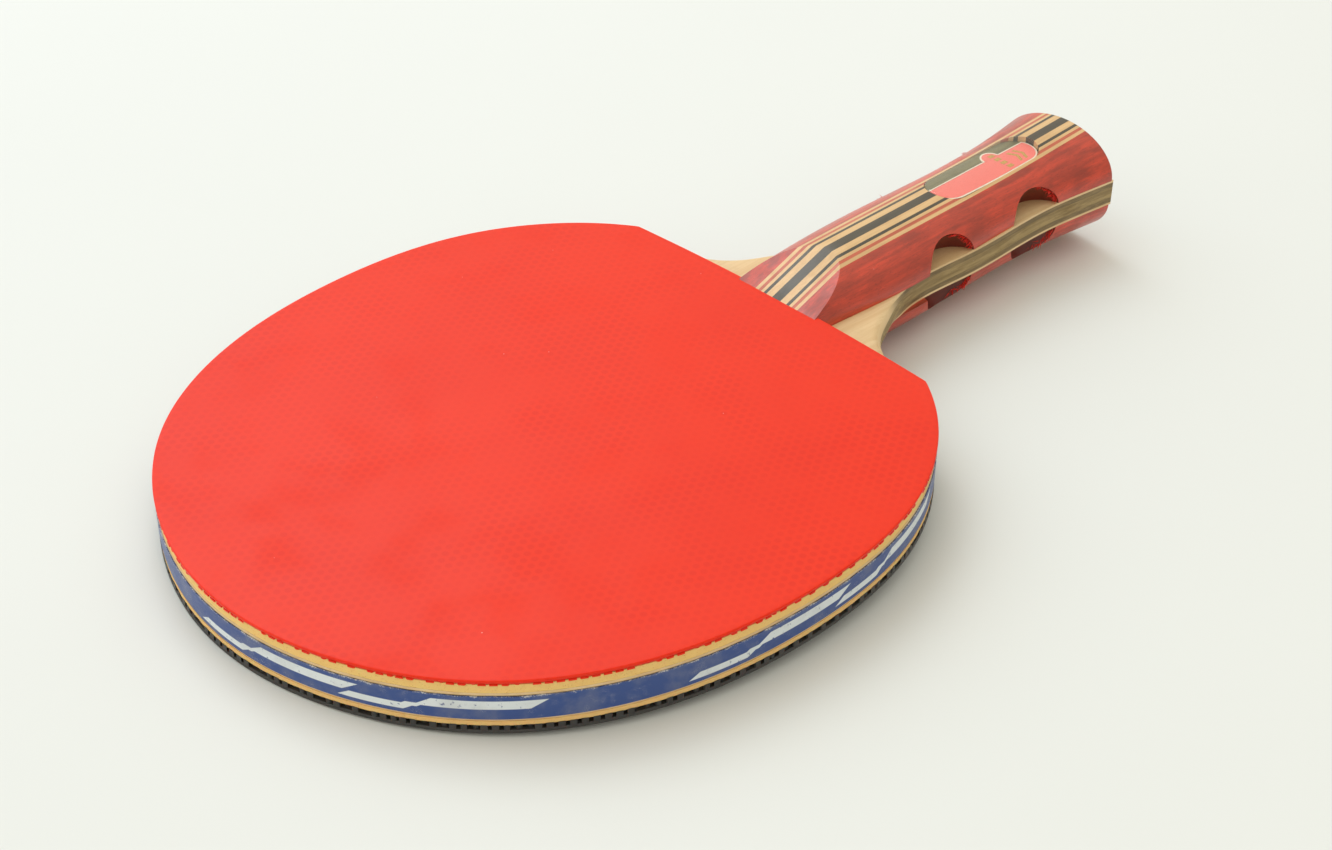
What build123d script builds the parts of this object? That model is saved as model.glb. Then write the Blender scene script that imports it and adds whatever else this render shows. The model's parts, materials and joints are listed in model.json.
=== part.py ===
from build123d import *
import math
import os

# Table tennis paddle with a flared, ventilated handle, lying on its black rubber.
#
# It is drawn flat first: X runs across the paddle, Y from the tip of the head to the butt, and Z through the
# thickness, with the blade's middle plane at 0 and the red rubber on the +Z side.  The finished pieces are then
# laid on a table together: the paddle touches it at the head's tip and under the back scale's ramp ridge, and
# the part's origin is the centre of the bottom of its bounding box.  All sizes are in millimetres.

# ---- overall sizes ----
head_length = 152.5        # tip to the straight edge of the rubbers
head_width = 150.6         # widest part of the head
handle_length = 105.5      # straight edge of the rubbers to the butt

# ---- head outline: the rubbers' right half, as shares of the half width and of the head's length ----
straight_half = 44.6       # half the length of the straight edge
corner_round = 1.5         # where the straight edge meets the round one
head_shares = [(0.398, 0.044), (0.721, 0.159), (0.915, 0.321), (1.0, 0.557), (0.936, 0.786), (0.798, 0.908)]

# ---- blade: five plies, the same on both sides of the core ----
outer_ply = 0.6
inner_ply = 1.4
core_ply = 2.8

# ---- rubbers, front red and back black: a pimpled sheet on a sponge ----
front_sponge_thick = 2.0
front_sheet_thick = 1.25
back_sponge_thick = 1.0
back_sheet_thick = 2.1
sponge_inset = 0.3         # the sponge stands back from the sheet's edge

# ---- tape round the head's edge ----
tape_thick = 0.3
tape_width = 5.7           # centred on the blade's edge
tape_stop = 8.0            # it ends this far short of the straight edge

# ---- wings: the blade's outline from the head's corner to the grip, from the axis and the straight edge ----
wing_inset = 1.2           # the wing starts this far inside the corner
wing_points = [(33.0, 3.6), (24.1, 9.1), (17.8, 19.6)]

# ---- grip: stations as shares of the handle's length, with half widths and heights over the middle plane;
# the last one lies past the butt, which is cut out of it ----
grip_shares = [0.0, 0.12, 0.26, 0.50, 0.78, 0.88, 1.04]
grip_halves = [12.6, 13.5, 14.4, 14.0, 14.0, 15.1, 17.5]
grip_heights = [12.8, 12.8, 12.8, 12.85, 13.3, 13.6, 14.15]
wing_station = 2           # the wings run into the grip at this station
waist_station = 3          # the grip's waist, which the vents are measured from
scale_gap = 0.2            # between the rubber's edge and the scale
ramp_length = 17.0         # the sloping front of each scale
butt_dome = 150.0          # radius of the butt's end in plan
butt_round = 1.0           # sanded edge round the butt

# ---- strips of one scale, from its middle outwards; the red block takes the rest ----
centre_strip = 2.5
side_strips = {"cream_wide": 1.85, "dark_line": 0.85, "cream_mid": 0.8, "red_line": 0.85, "cream_outer": 0.9}

# ---- vents: ball-shaped scoops in the sides of each scale, down to the blade's face ----
vent_radius = 8.6
vent_places = [60.1, 28.2]  # from the butt
vent_outside = 2.0         # the ball's centre lies this far outside the waist
vent_below = 1.2           # and this far below the scale's underside

# ---- badge in the front scale: a printed label under a clear lens, in a round-ended pocket ----
badge_length = 37.2
badge_width = 11.4
badge_middle = 33.1        # from the butt
pocket_depth = 0.95        # below the scale's height at its shoulder
label_thick = 0.3
label_margin = 0.3         # the label's edge to the pocket's wall
label_bare = 3.6           # wood left bare beside the label
ear_length = 8.0           # the label's ear, a round-ended tab across the bare wood
ear_width = 5.5
ear_reach = 2.6            # it stands out from the label's side
ear_middle = 27.3          # from the butt
lens_clear = 0.1           # the lens's edge to the pocket's wall
lens_proud = 0.25          # the lens stands over the wood

# ---- derived places ----
blade_half = core_ply / 2 + inner_ply + outer_ply
half_width = head_width / 2
total_length = head_length + handle_length
front_face = blade_half + front_sponge_thick + front_sheet_thick
back_face = -(blade_half + back_sponge_thick + back_sheet_thick)
grip_stations = [head_length + share * handle_length for share in grip_shares]
scale_start = head_length + scale_gap
ramp_end = scale_start + ramp_length
badge_y = total_length - badge_middle
pocket_floor = grip_heights[0] - pocket_depth
outline_steps = 24         # points that carry an inset outline
far = 100.0                # reach of a cutting tool past what it cuts


def slab(face, low, high):
    """A flat face raised between two heights."""
    return Pos(0, 0, low) * extrude(face, high - low)


def mirrored(points):
    """The left half of an outline, back along its right half."""
    return [(-x, y) for x, y in reversed(points)]


def head_plan(inset=0):
    """The rubbers' outline, or one drawn in by an inset: a round edge from corner to corner, and a straight one."""
    right = [(x * half_width, y * head_length) for x, y in head_shares] + [(straight_half, head_length)]
    round_edge = Spline(*mirrored(right), (0, 0), *right)
    if inset:
        steps = [step / outline_steps for step in range(outline_steps + 1)]
        round_edge = Spline(*[round_edge @ t + (round_edge % t).rotate(Axis.Z, 90) * inset for t in steps])
    plan = make_face([round_edge, Line(round_edge @ 1, round_edge @ 0)])
    return fillet(plan.vertices(), corner_round)


def handle_plan():
    """The blade's wings and grip; the wings start just inside the head, and the butt's end is cut later."""
    start = (straight_half - wing_inset, head_length - wing_inset / 2)
    wing = [start] + [(x, head_length + y) for x, y in wing_points]
    right = wing + list(zip(grip_halves, grip_stations))[wing_station:]
    left = mirrored(right)
    outline = [Spline(*right), Line(right[-1], left[0]), Spline(*left), Line(left[-1], start)]
    return make_face(outline)


def butt_tool():
    """An upright drum whose wall is the butt's end."""
    return Pos(0, total_length - butt_dome, 0) * Cylinder(butt_dome, far)


def grip_section(half, height, y):
    """Half an ellipse that stands on the blade's face, across the handle."""
    across = Plane(origin=(0, y, blade_half), x_dir=(1, 0, 0), z_dir=(0, -1, 0))
    arch = EllipticalCenterArc((0, 0), half, height - blade_half, start_angle=0, arc_size=180)
    return across * make_face([arch, Line((-half, 0), (half, 0))])


def scale_blank():
    """One scale before its cuts: a loft through the grip's stations, from the blade's face up."""
    sections = [grip_section(*station) for station in zip(grip_halves, grip_heights, grip_stations)]
    return loft(sections)


def ramp_tool(toe_height):
    """What is planed off the scale's front, from toe_height at the rubber up to the grip's shoulder."""
    slope = (grip_heights[0] - toe_height) / ramp_length
    low = (scale_start - 1, toe_height - slope)
    high = (scale_start + 2 * ramp_length, toe_height + 2 * ramp_length * slope)
    side = make_face(Polyline(low, high, (high[0], far), (low[0], far), close=True))
    upright = Plane(origin=(-far, 0, 0), x_dir=(0, 1, 0), z_dir=(1, 0, 0))
    return extrude(upright * side, 2 * far)


def vent_tool():
    """The four balls that scoop the vents."""
    x = grip_halves[waist_station] + vent_outside
    z = blade_half - vent_below
    places = [(side * x, total_length - y, z) for side in (-1, 1) for y in vent_places]
    return [Pos(*place) * Sphere(vent_radius) for place in places]


def badge_plan(margin):
    """The badge pocket's round-ended outline, drawn in by a margin."""
    return Pos(0, badge_y) * SlotOverall(badge_length - 2 * margin, badge_width - 2 * margin, rotation=90)


def label_plan():
    """The label: it leaves wood bare along one side of the pocket, but for its ear."""
    side = label_bare - badge_width / 2
    bare = Pos(-badge_width / 2, badge_y) * Rectangle(2 * label_bare, badge_length)
    ear = Pos(side - ear_reach + ear_length / 2, total_length - ear_middle) * SlotOverall(ear_length, ear_width)
    return badge_plan(label_margin) - bare + ear


def shaped_scale(toe_height):
    """A scale with its gap, ramp, domed and sanded butt, and vents."""
    scale = scale_blank() & butt_tool()
    end = scale.faces().sort_by(Axis.Y)[-1]
    rim = [edge for edge in end.edges() if edge.center().Z > blade_half + 1]
    scale = fillet(rim, butt_round)
    scale -= Pos(0, scale_start - far / 2, 0) * Box(2 * far, far, far)
    scale -= ramp_tool(toe_height)
    return scale - vent_tool()


def strip_spans():
    """Each strip's name with its two faces across the handle."""
    edge = centre_strip / 2
    spans = {"centre_dark": (-edge, edge)}
    outer = dict(side_strips)
    outer["red_block"] = far
    for name, width in outer.items():
        spans[f"right_{name}"] = (edge, edge + width)
        spans[f"left_{name}"] = (-edge - width, -edge)
        edge += width
    return spans


def scale_strips(scale, prefix):
    """The scale cut into its glued strips."""
    strips = {}
    for name, (low, high) in strip_spans().items():
        window = Pos((low + high) / 2, total_length / 2, 0) * Box(high - low, 2 * total_length, far)
        strips[f"{prefix}_{name}"] = scale & window
    return strips


def blade_plies():
    """The blade's plies, from the front face to the back one."""
    plan = head_plan(tape_thick) + handle_plan()
    names = ["front_outer_ply", "front_inner_ply", "core_ply", "back_inner_ply", "back_outer_ply"]
    top = blade_half
    plies = {}
    for name, thick in zip(names, [outer_ply, inner_ply, core_ply, inner_ply, outer_ply]):
        plies[name] = slab(plan, top - thick, top) & butt_tool()
        top -= thick
    return plies


def edge_tape():
    """The band round the blade's edge, which ends short of the straight edge."""
    ring = head_plan() - head_plan(tape_thick)
    band = slab(ring, -tape_width / 2, tape_width / 2)
    return band - Pos(0, head_length - tape_stop + far / 2, 0) * Box(2 * far, far, far)


def rubbers():
    """The two sponges and the two sheets, each on top of the one below it."""
    sheet = head_plan()
    sponge = head_plan(sponge_inset)
    front_joint = blade_half + front_sponge_thick
    back_joint = -(blade_half + back_sponge_thick)
    return {
        "front_sponge": slab(sponge, blade_half, front_joint),
        "front_sheet": slab(sheet, front_joint, front_face),
        "back_sponge": slab(sponge, back_joint, -blade_half),
        "back_sheet": slab(sheet, back_face, back_joint),
    }


def badge():
    """The label on the pocket's floor, and the lens that fills the pocket over it."""
    label = slab(label_plan(), pocket_floor, pocket_floor + label_thick)
    column = slab(badge_plan(lens_clear), pocket_floor, far)
    lens = (column & Pos(0, 0, lens_proud) * scale_blank()) - label
    return {"badge_label": label, "badge_lens": lens}


def laid(pieces):
    """The pieces lying on the table, with the origin at the centre of the bottom of their box."""
    rise = math.degrees(math.atan2(grip_heights[0] + back_face, ramp_end))
    turned = {name: Rot(rise, 0, 0) * piece for name, piece in pieces.items()}
    boxes = [piece.bounding_box() for piece in turned.values()]
    floor = min(box.min.Z for box in boxes)
    middle = (min(box.min.Y for box in boxes) + max(box.max.Y for box in boxes)) / 2
    return {name: Pos(0, -middle, -floor) * piece for name, piece in turned.items()}


front_scale = shaped_scale(front_face) - slab(badge_plan(0), pocket_floor, far)
back_scale = mirror(shaped_scale(-back_face), Plane.XY)
pieces = blade_plies()
pieces["edge_tape"] = edge_tape()
pieces.update(rubbers())
pieces.update(scale_strips(front_scale, "front"))
pieces.update(scale_strips(back_scale, "back"))
pieces.update(badge())

os.makedirs("parts", exist_ok=True)
for name, piece in laid(pieces).items():
    export_step(piece, f"parts/{name}.step")
    size = piece.bounding_box().size
    print(f"{name}: {len(piece.solids())} solid, {piece.volume / 1000:.2f} cm3, {size.X:.1f} {size.Y:.1f} {size.Z:.1f}")
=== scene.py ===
"""Looks of a table tennis paddle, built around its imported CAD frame.

Lengths are in metres.  Each piece is drawn flat, as on a bench: X across the paddle, Y from the head's tip to the
butt, Z through the thickness with the blade's middle plane at 0 and the red rubber up.  Bench.matrix then takes it
to where the frame lies on the table.
"""
import json
import logging
import math
from abc import ABC, abstractmethod
from dataclasses import dataclass
from enum import Enum
from typing import Callable, Optional, Sequence

import bmesh
import bpy
import numpy as np
from mathutils import Matrix, Vector
from mathutils.bvhtree import BVHTree


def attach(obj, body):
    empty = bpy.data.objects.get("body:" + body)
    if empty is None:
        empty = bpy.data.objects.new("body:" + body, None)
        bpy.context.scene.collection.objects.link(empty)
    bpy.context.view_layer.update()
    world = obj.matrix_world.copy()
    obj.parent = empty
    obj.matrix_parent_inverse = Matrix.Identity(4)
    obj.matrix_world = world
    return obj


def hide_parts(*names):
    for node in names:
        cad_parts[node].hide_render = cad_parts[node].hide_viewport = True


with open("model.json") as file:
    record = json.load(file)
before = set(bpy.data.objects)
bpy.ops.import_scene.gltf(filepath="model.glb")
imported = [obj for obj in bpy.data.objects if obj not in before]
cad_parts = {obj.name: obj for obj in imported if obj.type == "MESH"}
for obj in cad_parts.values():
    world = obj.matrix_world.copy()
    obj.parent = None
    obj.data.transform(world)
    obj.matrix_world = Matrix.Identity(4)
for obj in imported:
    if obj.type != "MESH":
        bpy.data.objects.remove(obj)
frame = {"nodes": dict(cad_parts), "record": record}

MM = 0.001
BODY = "root"
WELD = 0.0005 * MM
LEVEL = 0.002 * MM
SHARP_CORNER = math.radians(20)
log = logging.getLogger("paddle")
Colour = tuple[float, float, float]
Faces = list[list[int]]


def millimetres(*values: float) -> list[float]:
    """The values, given in millimetres, in metres."""
    return [value * MM for value in values]


# ---------------------------------------------------------------- the bench and the frame


@dataclass
class Bench:
    """Where the flat drawing lies on the table.

    Args:
        tilt: Angle about X from the flat drawing to the laid paddle, in radians.
        tip: The tip's place along the turned Y.
        middle: The blade's middle plane along the turned Z.
    """

    tilt: float
    tip: float = 0.0
    middle: float = 0.0

    @classmethod
    def from_frame(cls, record: dict) -> "Bench":
        """Works the bench out from the record's front face and the frame's meshes."""
        face = next(mount for mount in record["mounts"] if mount["name"] == "front_face")
        turned = cls(math.atan2(-face["axis"][1], face["axis"][2]))
        low, high = turned.levels("core_ply")
        return cls(turned.tilt, float(turned.flat_vertices("front_sheet")[:, 1].min()), (low + high) / 2)

    @property
    def matrix(self) -> Matrix:
        """The flat drawing's way onto the table."""
        return Matrix.Rotation(self.tilt, 4, "X") @ Matrix.Translation((0, self.tip, self.middle))

    def flat_vertices(self, node: str) -> np.ndarray:
        """The places of a frame node's vertices on the bench, one row each."""
        mesh = frame["nodes"][node].data
        places = np.empty(len(mesh.vertices) * 3)
        mesh.vertices.foreach_get("co", places)
        back = np.array(self.matrix.inverted())
        return places.reshape(-1, 3) @ back[:3, :3].T + back[:3, 3]

    def levels(self, node: str) -> tuple[float, float]:
        """A frame node's lowest and highest place over the blade's middle plane."""
        heights = self.flat_vertices(node)[:, 2]
        return float(heights.min()), float(heights.max())

    def face_outline(self, node: str) -> np.ndarray:
        """The outline of a frame node's flat upper face.

        Args:
            node: The frame node.

        Returns:
            Points (x, y) in order round the face, counterclockwise from above, from the one nearest the tip.
        """
        mesh = frame["nodes"][node].data
        mesh.calc_loop_triangles()
        places = self.flat_vertices(node)
        _, first, same = np.unique(places.round(7), axis=0, return_index=True, return_inverse=True)
        places, same = places[first], same.reshape(-1)
        level = places[:, 2].max()
        edges = set()
        for triangle in mesh.loop_triangles:
            corners = [int(same[v]) for v in triangle.vertices]
            if max(abs(places[corner][2] - level) for corner in corners) < LEVEL:
                edges.update(zip(corners, corners[1:] + corners[:1]))
        follow = {start: end for start, end in edges if (end, start) not in edges}
        here = min(follow, key=lambda corner: math.hypot(places[corner][0], places[corner][1]))
        loop = [here]
        while follow[loop[-1]] != here:
            loop.append(follow[loop[-1]])
        points = places[loop][:, :2]
        after = np.roll(points, -1, axis=0)
        counterclockwise = np.sum(points[:, 0] * after[:, 1] - after[:, 0] * points[:, 1]) > 0
        return points if counterclockwise else points[::-1]


def smooth_loop(points: np.ndarray, step: float) -> np.ndarray:
    """A closed loop through the points, evenly stepped, and curved between its sharp corners.

    Args:
        points: The loop's points, (x, y).
        step: Longest distance between two new points.

    Returns:
        The new loop's points, in the same order.
    """
    ahead = np.roll(points, -1, axis=0) - points
    length = np.hypot(*ahead.T)
    way = ahead / length[:, None]
    before = np.roll(way, 1, axis=0)
    weight = length / (length + np.roll(length, 1))
    tangent = before * weight[:, None] + way * (1 - weight)[:, None]
    tangent /= np.hypot(*tangent.T)[:, None]
    sharp = np.sum(before * way, axis=1) < math.cos(SHARP_CORNER)
    made = []
    for i in range(len(points)):
        j = (i + 1) % len(points)
        start = way[i] if sharp[i] else tangent[i]
        end = way[i] if sharp[j] else tangent[j]
        for t in np.arange(0, 1, 1 / math.ceil(length[i] / step)):
            here = points[i] * (2 * t**3 - 3 * t**2 + 1) + points[j] * (3 * t**2 - 2 * t**3)
            made.append(here + length[i] * (start * (t**3 - 2 * t**2 + t) + end * (t**3 - t**2)))
    return np.array(made)


def inward_normals(loop: np.ndarray) -> np.ndarray:
    """The unit normal at each point of a counterclockwise loop, towards its inside."""
    along = np.roll(loop, -1, axis=0) - np.roll(loop, 1, axis=0)
    normal = np.stack([-along[:, 1], along[:, 0]], axis=1)
    return normal / np.hypot(*normal.T)[:, None]


def inset_loop(loop: np.ndarray, inset: float | np.ndarray) -> np.ndarray:
    """The loop drawn in by an inset, or by one inset for each point."""
    return loop + inward_normals(loop) * np.broadcast_to(inset, len(loop))[:, None]


def at_height(loop: np.ndarray, height: float | np.ndarray) -> np.ndarray:
    """A flat loop raised to a height, or to one height for each point."""
    return np.column_stack([loop, np.broadcast_to(height, len(loop))])


def capped(rings: Sequence[np.ndarray]) -> tuple[np.ndarray, Faces]:
    """Vertices and faces of a closed solid through rings of equally many points, with flat ends."""
    count, last, faces = len(rings[0]), (len(rings) - 1) * len(rings[0]), []
    for start in range(0, last, count):
        for here, after in ((start + i, start + (i + 1) % count) for i in range(count)):
            faces.append([here, after, after + count, here + count])
    return np.concatenate(rings), faces + [list(range(count))[::-1], [last + i for i in range(count)]]


def ripple(count: int, seed: int, terms: int = 60, start: int = 12) -> np.ndarray:
    """A smooth closed run of noise between about -1 and 1.

    Args:
        count: How many values.
        seed: The noise's seed.
        terms: How many waves it has.
        start: The slowest wave's turns round the loop.

    Returns:
        The values.
    """
    draw = np.random.default_rng(seed)
    turn = np.arange(count) / count * 2 * math.pi
    waves = [draw.normal() * np.sin(turn * (start + k) + draw.uniform(0, 6.28)) for k in range(terms)]
    run = np.sum(waves, axis=0)
    return run / np.abs(run).max()


@dataclass
class Head:
    """The rubbers' outline and places along it.

    Args:
        loop: The outline, counterclockwise from the tip.
    """

    loop: np.ndarray

    @classmethod
    def from_bench(cls, bench: Bench) -> "Head":
        """Takes the outline from the frame's red sheet, drawn in by a hair."""
        return cls(inset_loop(smooth_loop(bench.face_outline("front_sheet"), 0.6 * MM), 0.004 * MM))

    @property
    def along(self) -> np.ndarray:
        """Distance along the edge from the tip, in millimetres, negative towards -X."""
        ahead = np.hypot(*(np.roll(self.loop, -1, axis=0) - self.loop).T)
        run = np.concatenate([[0], np.cumsum(ahead)[:-1]]) / MM
        whole = ahead.sum() / MM
        return np.where(run > whole / 2, run - whole, run)

    def depth(self, points: np.ndarray) -> tuple[np.ndarray, np.ndarray]:
        """How far points lie inside the outline.

        Args:
            points: Points (x, y).

        Returns:
            The depth of each, negative outside, and the number of the outline point nearest to it.
        """
        normals = inward_normals(self.loop)
        nearest = np.concatenate([
            np.argmin(((part[:, None] - self.loop[None]) ** 2).sum(axis=2), axis=1)
            for part in np.array_split(points, max(1, len(points) // 500))
        ])
        return ((points - self.loop[nearest]) * normals[nearest]).sum(axis=1), nearest


# ---------------------------------------------------------------- node tools


class Wiring:
    """Adds and links nodes in one tree."""

    prefix = "ShaderNode"

    def __init__(self, tree: bpy.types.NodeTree) -> None:
        """Takes the tree to work in."""
        self.tree = tree

    def add(self, kind: str, inputs: Optional[dict] = None, **settings: object) -> bpy.types.Node:
        """Adds a node.

        Args:
            kind: The node's type, without the prefix.
            inputs: Input name or number to a value or a socket.
            settings: Attributes of the node.

        Returns:
            The new node.
        """
        node = self.tree.nodes.new(self.prefix + kind)
        for name, value in settings.items():
            setattr(node, name, value)
        self.feed(node, inputs or {})
        return node

    def feed(self, node: bpy.types.Node, inputs: dict) -> None:
        """Links sockets to a node's inputs, or sets their values."""
        for name, value in inputs.items():
            target = node.inputs[name]
            if isinstance(value, bpy.types.NodeSocket):
                self.tree.links.new(value, target)
            else:
                target.default_value = (*value, 1.0) if target.type == "RGBA" else value

    def maths(self, operation: str, *values: object) -> bpy.types.NodeSocket:
        """The result of one arithmetic step on numbers or sockets."""
        return self.add("Math", dict(enumerate(values)), operation=operation).outputs[0]

    def times(self, *values: object) -> bpy.types.NodeSocket:
        """The product of two numbers or sockets."""
        return self.maths("MULTIPLY", *values)

    def vector_maths(self, operation: str, *values: object) -> bpy.types.NodeSocket:
        """The result of one step of vector arithmetic."""
        return self.add("VectorMath", dict(enumerate(values)), operation=operation).outputs[0]

    def scaled(self, vector: object, factor: object) -> bpy.types.NodeSocket:
        """A vector multiplied by a number."""
        return self.add("VectorMath", {0: vector, "Scale": factor}, operation="SCALE").outputs[0]

    def stretched(self, vector: object, scale: Sequence[float], offset: Sequence[float] = (0, 0, 0)) -> object:
        """A place multiplied by one factor for each axis and moved."""
        return self.vector_maths("ADD", self.vector_maths("MULTIPLY", vector, scale), offset)

    def spread(self, value: object, low: float, high: float, to_low: float = 0.0, to_high: float = 1.0) -> object:
        """A number's range mapped smoothly onto another one."""
        inputs = {"Value": value, "From Min": low, "From Max": high, "To Min": to_low, "To Max": to_high}
        return self.add("MapRange", inputs, interpolation_type="SMOOTHSTEP").outputs["Result"]

    def blend(self, mask: object, first: object, second: object) -> bpy.types.NodeSocket:
        """Two colours mixed by a mask."""
        return self.add("Mix", {0: mask, 6: first, 7: second}, data_type="RGBA").outputs[2]

    def noise(self, vector: object, scale: float, detail: float = 4.0, roughness: float = 0.55) -> object:
        """Even noise from 0 to 1."""
        inputs = {"Vector": vector, "Scale": scale, "Detail": detail, "Roughness": roughness}
        return self.add("TexNoise", inputs).outputs["Fac"]


class Effect(Enum):
    """Node groups that several finishes share."""

    GRAIN = "wood_grain"
    WEAR = "handling_wear"
    DUST = "fine_dust"
    PIMPLES = "pimples_through_sheet"


def group(effect: Effect, inputs: dict[str, float], draw: Callable[[Wiring, dict], dict]) -> bpy.types.NodeTree:
    """A shader node group that works on a place.

    Args:
        effect: Which group this is.
        inputs: Its other inputs, with default values.
        draw: Draws the group from its input sockets and gives its outputs by name.

    Returns:
        The group.
    """
    w = Wiring(bpy.data.node_groups.new(effect.value, "ShaderNodeTree"))
    face = w.tree.interface
    face.new_socket("Place", in_out="INPUT", socket_type="NodeSocketVector")
    for name, value in inputs.items():
        face.new_socket(name, in_out="INPUT", socket_type="NodeSocketFloat").default_value = value
    made = draw(w, w.tree.nodes.new("NodeGroupInput").outputs)
    for name in made:
        face.new_socket(name, in_out="OUTPUT", socket_type="NodeSocketFloat")
    w.feed(w.tree.nodes.new("NodeGroupOutput"), made)
    return w.tree


def draw_grain(w: Wiring, given: dict) -> dict:
    """Wood grain along Y: broad bands, fine fibres and short open pores."""
    shift = w.add("CombineXYZ", {axis: given["Seed"] for axis in "XYZ"}).outputs[0]
    place = w.vector_maths("ADD", given["Place"], shift)
    wander = w.noise(w.stretched(place, (0.12, 0.03, 0.12)), 1.0, 2.0)
    bent = w.vector_maths("ADD", place, w.add("CombineXYZ", {"X": w.times(wander, 5.0)}).outputs[0])
    bands = w.scaled(w.stretched(bent, (0.55, 0.018, 0.55)), given["Bands"])
    cells = w.stretched(place, (4.2, 0.42, 4.2))
    holes = w.add("TexVoronoi", {"Vector": cells, "Scale": 1.0, "Randomness": 1.0}, feature="F1")
    return {
        "Band": w.spread(w.noise(bands, 1.0, 3.0, 0.6), 0.32, 0.68),
        "Fibre": w.spread(w.noise(w.stretched(place, (7.0, 0.12, 7.0)), 1.0, 3.0, 0.6), 0.3, 0.7),
        "Pore": w.spread(holes.outputs["Distance"], 0.1, 0.24, 1.0, 0.0),
    }


def draw_wear(w: Wiring, given: dict) -> dict:
    """Smudges and thin scratches from handling."""
    shift = w.add("CombineXYZ", {"X": given["Seed"], "Z": given["Seed"]}).outputs[0]
    place = w.vector_maths("ADD", w.scaled(given["Place"], given["Size"]), shift)
    scratch = 0.0
    for turn in (0.5, 1.7, 2.6):
        turned = w.add("VectorRotate", {"Vector": place, "Angle": turn}, rotation_type="Z_AXIS").outputs[0]
        streak = w.noise(w.stretched(turned, (3.2, 0.05, 3.2)), 1.0, 2.0, 0.5)
        patch = w.noise(w.stretched(turned, (0.2, 0.1, 0.2), (9 * turn, 0, 0)), 1.0, 1.0)
        thin = w.spread(w.maths("ABSOLUTE", w.maths("SUBTRACT", streak, 0.5)), 0.0, 0.012, 1.0, 0.0)
        scratch = w.maths("MAXIMUM", scratch, w.times(thin, w.spread(patch, 0.6, 0.7)))
    return {"Smudge": w.spread(w.noise(place, 0.09, 4.0, 0.6), 0.42, 0.68), "Scratch": scratch}


def draw_dust(w: Wiring, given: dict) -> dict:
    """Sparse pale specks."""
    spaced = w.maths("DIVIDE", 1.0, given["Spacing"])
    cells = w.add("TexVoronoi", {"Vector": given["Place"], "Scale": spaced}, voronoi_dimensions="3D", feature="F1")
    near = w.times(cells.outputs["Distance"], given["Spacing"])
    parts = w.add("SeparateColor", {"Color": cells.outputs["Color"]}).outputs
    inside = w.maths("LESS_THAN", near, w.times(given["Speck"], parts[0]))
    return {"Specks": w.times(inside, w.maths("GREATER_THAN", parts[1], 0.45))}


def draw_pimples(w: Wiring, given: dict) -> dict:
    """Dots in staggered rows, where the pimples under a sheet meet it."""
    row = w.times(given["Pitch"], math.sqrt(3))
    cell = w.add("CombineXYZ", {"X": given["Pitch"], "Y": row, "Z": 1.0}).outputs[0]
    flat = w.vector_maths("MULTIPLY", given["Place"], (1, 1, 0))
    dots = 0.0
    for shift in (0.0, 0.5):
        moved = w.vector_maths("ADD", w.vector_maths("DIVIDE", flat, cell), (shift, shift, 0.0))
        middle = w.vector_maths("SUBTRACT", w.vector_maths("FRACTION", moved), (0.5, 0.5, 0.0))
        away = w.add("VectorMath", {0: w.vector_maths("MULTIPLY", middle, cell)}, operation="LENGTH")
        ratio = w.maths("DIVIDE", away.outputs["Value"], given["Dot"])
        dots = w.maths("MAXIMUM", dots, w.spread(ratio, 0.7, 1.3, 1.0, 0.0))
    return {"Dots": dots}


# ---------------------------------------------------------------- the workshop


class Slot(Enum):
    """Material slots of the record."""

    FACE = "face_veneer"
    OLIVE = "olive_veneer"
    CORE = "core_wood"
    TAPE = "edge_tape"
    SPONGE = "sponge"
    RED_RUBBER = "red_rubber"
    BLACK_RUBBER = "black_rubber"
    LABEL = "label_print"
    LENS = "clear_lens"
    DARK = "dark_strip"
    CREAM = "cream_strip"
    RED = "red_strip"


class Brush(Wiring):
    """The wiring of one material, with its shader and each point's flat place in millimetres."""

    def __init__(self, tree: bpy.types.NodeTree, bench: Bench, groups: dict) -> None:
        """Finds the shader and makes the flat place.

        Args:
            tree: The material's tree.
            bench: Where the bench lies.
            groups: The shared groups.
        """
        super().__init__(tree)
        self.groups = groups
        self.shader = next(node for node in tree.nodes if node.type == "BSDF_PRINCIPLED")
        inputs = {
            "Vector": self.add("TexCoord").outputs["Object"],
            "Location": (0, -bench.tip / MM, -bench.middle / MM),
            "Rotation": (-bench.tilt, 0, 0),
            "Scale": (1 / MM, 1 / MM, 1 / MM),
        }
        self.place = self.add("Mapping", inputs, vector_type="POINT").outputs[0]

    def effect(self, effect: Effect, **inputs: object) -> dict:
        """The outputs of one of the shared groups, at the flat place."""
        return self.add("Group", {"Place": self.place, **inputs}, node_tree=self.groups[effect]).outputs

    def attribute(self, name: str) -> bpy.types.NodeSocket:
        """A number that the mesh carries."""
        return self.add("Attribute", attribute_name=name, attribute_type="GEOMETRY").outputs["Fac"]

    def bumped(self, height: object, depth: float, strength: float) -> bpy.types.NodeSocket:
        """The surface normal over a height map from 0 to 1, depth metres deep."""
        return self.add("Bump", {"Height": height, "Distance": depth, "Strength": strength}).outputs["Normal"]

    def connect(self, **sockets: object) -> None:
        """Feeds the shader, with _ for a space in each input's name."""
        self.feed(self.shader, {name.replace("_", " "): value for name, value in sockets.items()})


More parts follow.
